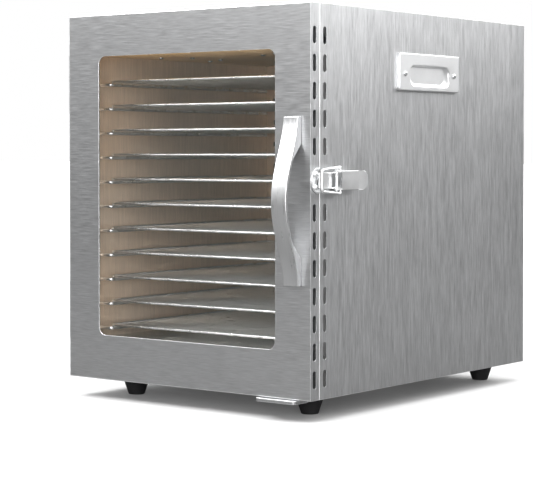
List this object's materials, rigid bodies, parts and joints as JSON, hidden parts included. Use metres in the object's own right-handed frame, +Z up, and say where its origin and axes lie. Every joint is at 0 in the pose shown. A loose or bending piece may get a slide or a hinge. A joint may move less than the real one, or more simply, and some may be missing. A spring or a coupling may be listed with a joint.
{
  "type": "food dehydrator",
  "caption": "Stainless cabinet food dehydrator: a glazed side-hinged door with an over-centre latch closes on a stack of wire-mesh trays in front of a rear fan and heater.",
  "frame": {"origin": "on the floor, at the middle of the whole object's footprint, with the fasteners and the latch included", "axes": "+X towards the latch side, seen from the front as the right; +Y from the door to the back panel; +Z up"},
  "size_m": [0.3704, 0.4796, 0.4466],
  "materials": {
    "panel_steel": "brushed stainless sheet, fine straight grain",
    "liner_steel": "bright rolled stainless sheet",
    "bright_steel": "polished stainless",
    "wire": "bright drawn stainless wire",
    "handle_satin": "satin, fine grain along the bow",
    "zinc": "bright zinc plate",
    "glass": "clear float glass",
    "black_rubber": "matt",
    "grey_silicone": "satin silicone",
    "heater_sheath": "heat-tinted sheath",
    "ceramic": "off-white",
    "motor_paint": "satin black",
    "fan_alloy": "mill finish",
    "board_green": "solder mask",
    "panel_black": "gloss black",
    "display_red": "dark red filter",
    "button_grey": "satin grey",
    "inlet_black": "moulded"
  },
  "bodies": {
    "cabinet": {"side_panel_left": "panel_steel", "side_panel_right": "panel_steel", "top_panel": "panel_steel", "base_panel": "panel_steel", "back_panel": "panel_steel", "front_frame": "panel_steel", "liner_left": "liner_steel", "liner_right": "liner_steel", "liner_ceiling": "liner_steel", "liner_floor": "liner_steel", "fan_baffle": "liner_steel", "runners_left": "wire", "runners_right": "wire", "feet": "black_rubber", "pull_plate_left": "bright_steel", "pull_plate_right": "bright_steel", "latch_base": "bright_steel", "latch_pin": "bright_steel", "door_rest": "bright_steel", "hinge_leaves_cabinet": "zinc", "hinge_pins": "zinc", "heating_element": "heater_sheath", "thermal_cutout": "ceramic", "temperature_probe": "bright_steel", "fan_motor": "motor_paint", "motor_bracket": "liner_steel", "board_tray": "liner_steel", "controller_board": "board_green", "control_panel": "panel_black", "display_window": "display_red", "power_inlet": "inlet_black", "cabinet_screws": "zinc"},
    "door": {"hinge_leaves_door": "zinc", "door_skin": "panel_steel", "door_inner_panel": "panel_steel", "door_glass": "glass", "glass_gasket": "black_rubber", "door_seal": "grey_silicone", "door_handle": "handle_satin", "keeper": "bright_steel", "door_screws": "zinc"},
    "latch_lever": {"latch_lever": "bright_steel"},
    "latch_bail": {"latch_bail": "bright_steel"},
    "fan": {"motor_shaft": "bright_steel", "fan_rotor": "fan_alloy"},
    "button_start": {"button_start": "button_grey"},
    "button_mode": {"button_mode": "button_grey"},
    "button_up": {"button_up": "button_grey"},
    "button_down": {"button_down": "button_grey"},
    "tray_01": {"tray_01": "wire"},
    "tray_02": {"tray_02": "wire"},
    "tray_03": {"tray_03": "wire"},
    "tray_04": {"tray_04": "wire"},
    "tray_05": {"tray_05": "wire"},
    "tray_06": {"tray_06": "wire"},
    "tray_07": {"tray_07": "wire"},
    "tray_08": {"tray_08": "wire"},
    "tray_09": {"tray_09": "wire"},
    "tray_10": {"tray_10": "wire"},
    "tray_11": {"tray_11": "wire"}
  },
  "joints": [
    {"name": "door_hinge", "type": "hinge", "parent": "cabinet", "child": "door", "pos_m": [-0.1795, -0.19615, 0.2345], "axis": [0, 0, -1], "range_deg": [0, 180]},
    {"name": "latch_lever_hinge", "type": "hinge", "parent": "cabinet", "child": "latch_lever", "pos_m": [0.1802, -0.17165, 0.2565], "axis": [0, 0, -1], "range_deg": [0, 120]},
    {"name": "latch_bail_hinge", "type": "hinge", "parent": "latch_lever", "child": "latch_bail", "pos_m": [0.1802, -0.16515, 0.2565], "axis": [0, 0, -1], "range_deg": [-150, 0]},
    {"name": "fan_spin", "type": "hinge", "parent": "cabinet", "child": "fan", "pos_m": [0, 0.16185, 0.2335], "axis": [0, 1, 0], "continuous": true},
    {"name": "button_start_press", "type": "slide", "parent": "cabinet", "child": "button_start", "axis": [0, 0, -1], "range_m": [0, 0.0008], "stiffness_N_per_m": 600},
    {"name": "button_mode_press", "type": "slide", "parent": "cabinet", "child": "button_mode", "axis": [0, 0, -1], "range_m": [0, 0.0008], "stiffness_N_per_m": 600},
    {"name": "button_up_press", "type": "slide", "parent": "cabinet", "child": "button_up", "axis": [0, 0, -1], "range_m": [0, 0.0008], "stiffness_N_per_m": 600},
    {"name": "button_down_press", "type": "slide", "parent": "cabinet", "child": "button_down", "axis": [0, 0, -1], "range_m": [0, 0.0008], "stiffness_N_per_m": 600},
    {"name": "tray_01_slide", "type": "slide", "parent": "cabinet", "child": "tray_01", "axis": [0, -1, 0], "range_m": [0, 0.19]},
    {"name": "tray_02_slide", "type": "slide", "parent": "cabinet", "child": "tray_02", "axis": [0, -1, 0], "range_m": [0, 0.19]},
    {"name": "tray_03_slide", "type": "slide", "parent": "cabinet", "child": "tray_03", "axis": [0, -1, 0], "range_m": [0, 0.19]},
    {"name": "tray_04_slide", "type": "slide", "parent": "cabinet", "child": "tray_04", "axis": [0, -1, 0], "range_m": [0, 0.19]},
    {"name": "tray_05_slide", "type": "slide", "parent": "cabinet", "child": "tray_05", "axis": [0, -1, 0], "range_m": [0, 0.19]},
    {"name": "tray_06_slide", "type": "slide", "parent": "cabinet", "child": "tray_06", "axis": [0, -1, 0], "range_m": [0, 0.19]},
    {"name": "tray_07_slide", "type": "slide", "parent": "cabinet", "child": "tray_07", "axis": [0, -1, 0], "range_m": [0, 0.19]},
    {"name": "tray_08_slide", "type": "slide", "parent": "cabinet", "child": "tray_08", "axis": [0, -1, 0], "range_m": [0, 0.19]},
    {"name": "tray_09_slide", "type": "slide", "parent": "cabinet", "child": "tray_09", "axis": [0, -1, 0], "range_m": [0, 0.19]},
    {"name": "tray_10_slide", "type": "slide", "parent": "cabinet", "child": "tray_10", "axis": [0, -1, 0], "range_m": [0, 0.19]},
    {"name": "tray_11_slide", "type": "slide", "parent": "cabinet", "child": "tray_11", "axis": [0, -1, 0], "range_m": [0, 0.19]}
  ],
  "couplings": [
    {"joint": "tray_01_slide", "follows": "door_hinge", "m_per_rad": 0.06},
    {"joint": "tray_02_slide", "follows": "door_hinge", "m_per_rad": 0.06},
    {"joint": "tray_03_slide", "follows": "door_hinge", "m_per_rad": 0.06},
    {"joint": "tray_04_slide", "follows": "door_hinge", "m_per_rad": 0.06},
    {"joint": "tray_05_slide", "follows": "door_hinge", "m_per_rad": 0.06},
    {"joint": "tray_06_slide", "follows": "door_hinge", "m_per_rad": 0.06},
    {"joint": "tray_07_slide", "follows": "door_hinge", "m_per_rad": 0.06},
    {"joint": "tray_08_slide", "follows": "door_hinge", "m_per_rad": 0.06},
    {"joint": "tray_09_slide", "follows": "door_hinge", "m_per_rad": 0.06},
    {"joint": "tray_10_slide", "follows": "door_hinge", "m_per_rad": 0.06},
    {"joint": "tray_11_slide", "follows": "door_hinge", "m_per_rad": 0.06},
    {"joint": "latch_bail_hinge", "follows": "latch_lever_hinge", "ratio": -1.25}
  ]
}
